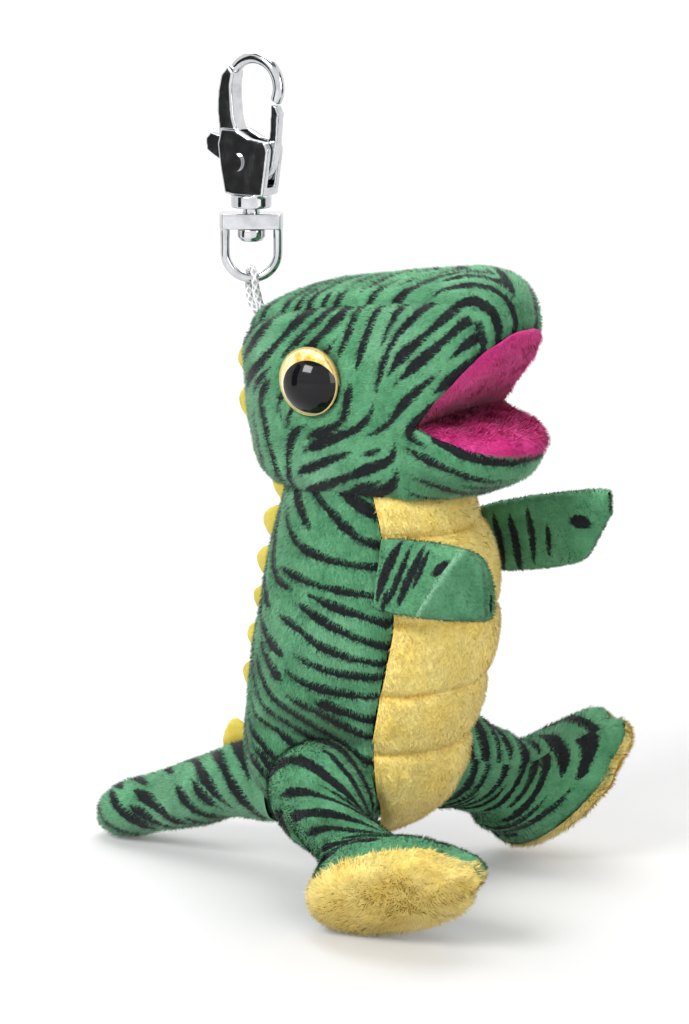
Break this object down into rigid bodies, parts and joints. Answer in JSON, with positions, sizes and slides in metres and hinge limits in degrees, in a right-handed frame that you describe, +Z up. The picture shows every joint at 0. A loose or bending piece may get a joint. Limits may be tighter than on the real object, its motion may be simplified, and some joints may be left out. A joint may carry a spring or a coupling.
{
  "type": "plush keychain",
  "caption": "Stuffed dinosaur toy with open mouth, arms, splayed legs and tail, hung by a cord loop from a D-ring, swivel and spring-gate hook.",
  "frame": {"origin": "centre of the part's footprint at the standing surface, under the toy", "axes": "+Z up; the toy faces -Y; +X is the toy's left"},
  "size_m": [0.0688, 0.0904, 0.1348],
  "materials": {
    "green_plush": "short-pile plush, green with dark cross stripes",
    "yellow_plush": "short-pile plush, yellow",
    "yellow_felt": "felt, yellow",
    "pink_plush": "short-pile plush, pink",
    "stuffing": "polyester fibre filling",
    "eye_lens": "clear dome over a black pupil",
    "eye_back": "foil iris on a moulded back",
    "washer_plastic": "moulded locking washer",
    "cord": "braided polyester cord",
    "chrome": "bright plated zinc"
  },
  "bodies": {
    "toy": {"body_cover": "green_plush", "belly_panel": "yellow_plush", "body_stuffing": "stuffing", "body_spikes": "yellow_felt", "head_cover": "green_plush", "head_top_panel": "green_plush", "head_stuffing": "stuffing", "head_spikes": "yellow_felt", "upper_mouth_lining": "pink_plush", "lower_mouth_lining": "pink_plush", "right_eye_dome": "eye_lens", "left_eye_dome": "eye_lens", "right_eye_base": "eye_back", "left_eye_base": "eye_back", "right_eye_washer": "washer_plastic", "left_eye_washer": "washer_plastic"},
    "right_leg": {"right_leg_cover": "green_plush", "right_leg_stuffing": "stuffing", "right_sole": "yellow_plush"},
    "left_leg": {"left_leg_cover": "green_plush", "left_leg_stuffing": "stuffing", "left_sole": "yellow_plush"},
    "tail": {"tail_cover": "green_plush", "tail_stuffing": "stuffing", "tail_spike": "yellow_felt"},
    "right_arm_pad": {"right_arm": "green_plush"},
    "left_arm_pad": {"left_arm": "green_plush"},
    "cord": {"hang_cord": "cord", "cord_knot": "cord"},
    "ring": {"d_ring": "chrome"},
    "hook": {"swivel_pin": "chrome", "hook_body": "chrome", "gate_rivet": "chrome", "gate_spring": "chrome"},
    "gate_lever": {"gate": "chrome"}
  },
  "joints": [
    {"name": "right_leg_flex", "type": "hinge", "parent": "toy", "child": "right_leg", "pos_m": [-0.01605, -0.00974, 0.01892], "axis": [1, 0, 0], "range_deg": [-15, 15], "stiffness_Nm_per_rad": 0.15},
    {"name": "left_leg_flex", "type": "hinge", "parent": "toy", "child": "left_leg", "pos_m": [0.01355, -0.00974, 0.01892], "axis": [1, 0, 0], "range_deg": [-15, 15], "stiffness_Nm_per_rad": 0.15},
    {"name": "tail_wag", "type": "hinge", "parent": "toy", "child": "tail", "pos_m": [-0.00125, 0.01606, 0.01431], "axis": [0, 0, 1], "range_deg": [-20, 20], "stiffness_Nm_per_rad": 0.05},
    {"name": "right_arm_swing", "type": "hinge", "parent": "toy", "child": "right_arm_pad", "pos_m": [-0.01705, -0.02074, 0.05641], "axis": [0.2467, 0, 0.9691], "range_deg": [-60, 15], "stiffness_Nm_per_rad": 0.01},
    {"name": "left_arm_swing", "type": "hinge", "parent": "toy", "child": "left_arm_pad", "pos_m": [0.01455, -0.02074, 0.05641], "axis": [-0.2467, 0, 0.9691], "range_deg": [-15, 60], "stiffness_Nm_per_rad": 0.01},
    {"name": "cord_swing", "type": "hinge", "parent": "toy", "child": "cord", "pos_m": [-0.00125, 0.01086, 0.09112], "axis": [-0.8387, -0.5446, 0], "range_deg": [-10, 15]},
    {"name": "ring_swing", "type": "hinge", "parent": "cord", "child": "ring", "pos_m": [-0.00125, 0.01416, 0.09811], "axis": [0.5446, -0.8387, 0], "range_deg": [-110, 60]},
    {"name": "swivel_spin", "type": "hinge", "parent": "ring", "child": "hook", "pos_m": [-0.00125, 0.01416, 0.10751], "axis": [0, 0, 1], "continuous": true},
    {"name": "gate_turn", "type": "hinge", "parent": "hook", "child": "gate_lever", "pos_m": [-0.00125, 0.01576, 0.11711], "axis": [-1, 0, 0], "range_deg": [0, 22], "stiffness_Nm_per_rad": 0.02, "springref_deg": -8.59, "deforming": ["gate_spring"]}
  ]
}
